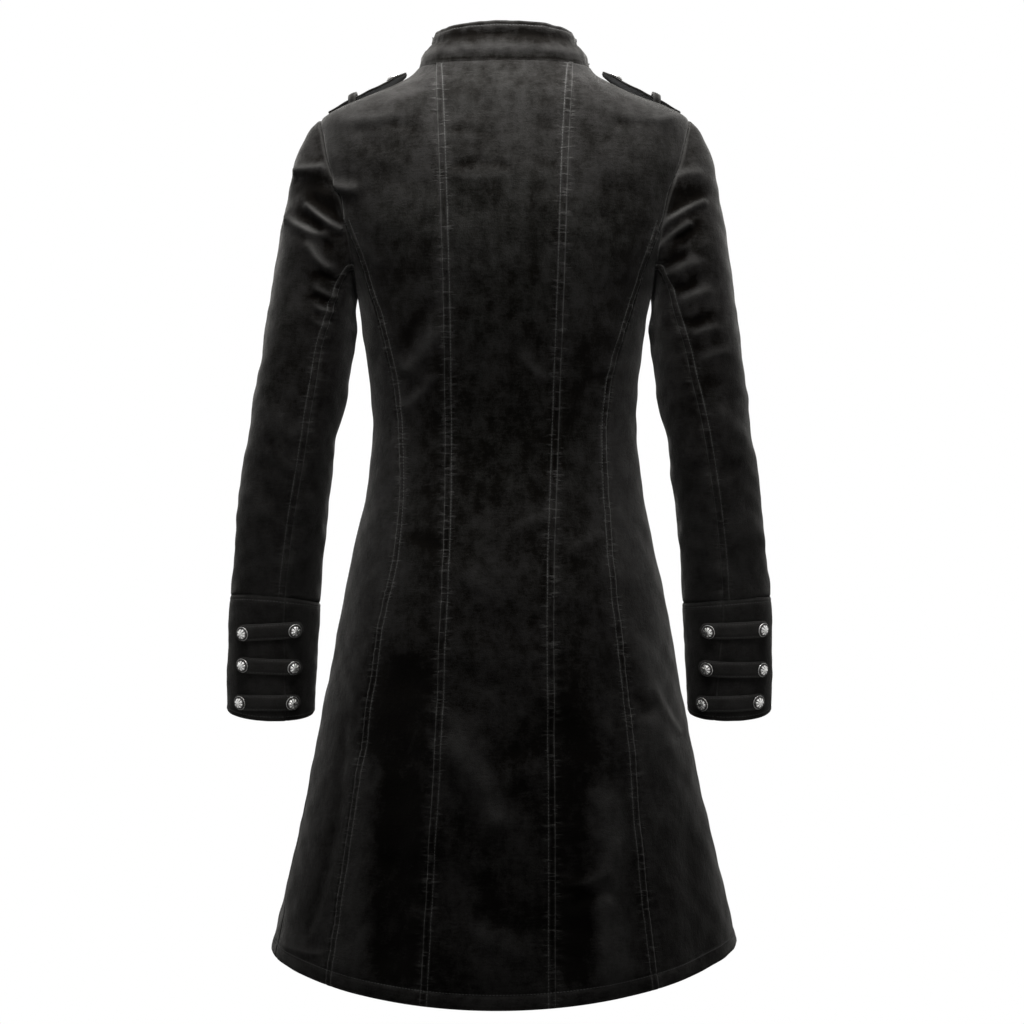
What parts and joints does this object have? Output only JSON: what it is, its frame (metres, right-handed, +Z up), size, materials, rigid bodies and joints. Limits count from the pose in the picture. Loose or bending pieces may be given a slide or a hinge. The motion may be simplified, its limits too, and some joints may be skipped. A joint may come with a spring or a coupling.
{
  "type": "knee-length military-style velvet coat",
  "caption": "Fitted, flared velvet coat with stand collar, shoulder straps held under loops, long sleeves and buttoned cuff straps, hollow as when worn.",
  "frame": {"origin": "middle of the shoulders, under the collar, where the wearer carries the coat", "axes": "+Z up along the wearer's back; the front faces -Y; +X is the wearer's left"},
  "size_m": [0.5652, 0.3947, 0.9594],
  "materials": {
    "velvet": "black cotton velvet, matt with a soft sheen",
    "button_metal": "aged silver-coloured metal, domed, in low relief"
  },
  "bodies": {
    "root": {"back_centre": "velvet", "back_left": "velvet", "back_right": "velvet", "side_back_left": "velvet", "side_back_right": "velvet", "side_front_left": "velvet", "side_front_right": "velvet", "front_left": "velvet", "front_right": "velvet", "collar": "velvet", "top_sleeve_left": "velvet", "top_sleeve_right": "velvet", "under_sleeve_left": "velvet", "under_sleeve_right": "velvet", "cuff_left": "velvet", "cuff_right": "velvet", "cuff_strap_left_1": "velvet", "cuff_strap_left_2": "velvet", "cuff_strap_left_3": "velvet", "cuff_strap_right_1": "velvet", "cuff_strap_right_2": "velvet", "cuff_strap_right_3": "velvet", "shoulder_strap_left": "velvet", "shoulder_strap_right": "velvet", "shoulder_loop_left": "velvet", "shoulder_loop_right": "velvet", "cuff_button_left_1_outer": "button_metal", "cuff_button_left_1_inner": "button_metal", "cuff_button_left_2_outer": "button_metal", "cuff_button_left_2_inner": "button_metal", "cuff_button_left_3_outer": "button_metal", "cuff_button_left_3_inner": "button_metal", "cuff_button_right_1_outer": "button_metal", "cuff_button_right_1_inner": "button_metal", "cuff_button_right_2_outer": "button_metal", "cuff_button_right_2_inner": "button_metal", "cuff_button_right_3_outer": "button_metal", "cuff_button_right_3_inner": "button_metal", "shoulder_button_left": "button_metal", "shoulder_button_right": "button_metal", "front_button_1": "button_metal", "front_button_2": "button_metal", "front_button_3": "button_metal", "front_button_4": "button_metal", "front_button_5": "button_metal", "front_button_6": "button_metal", "front_button_7": "button_metal", "front_button_8": "button_metal"}
  },
  "joints": []
}
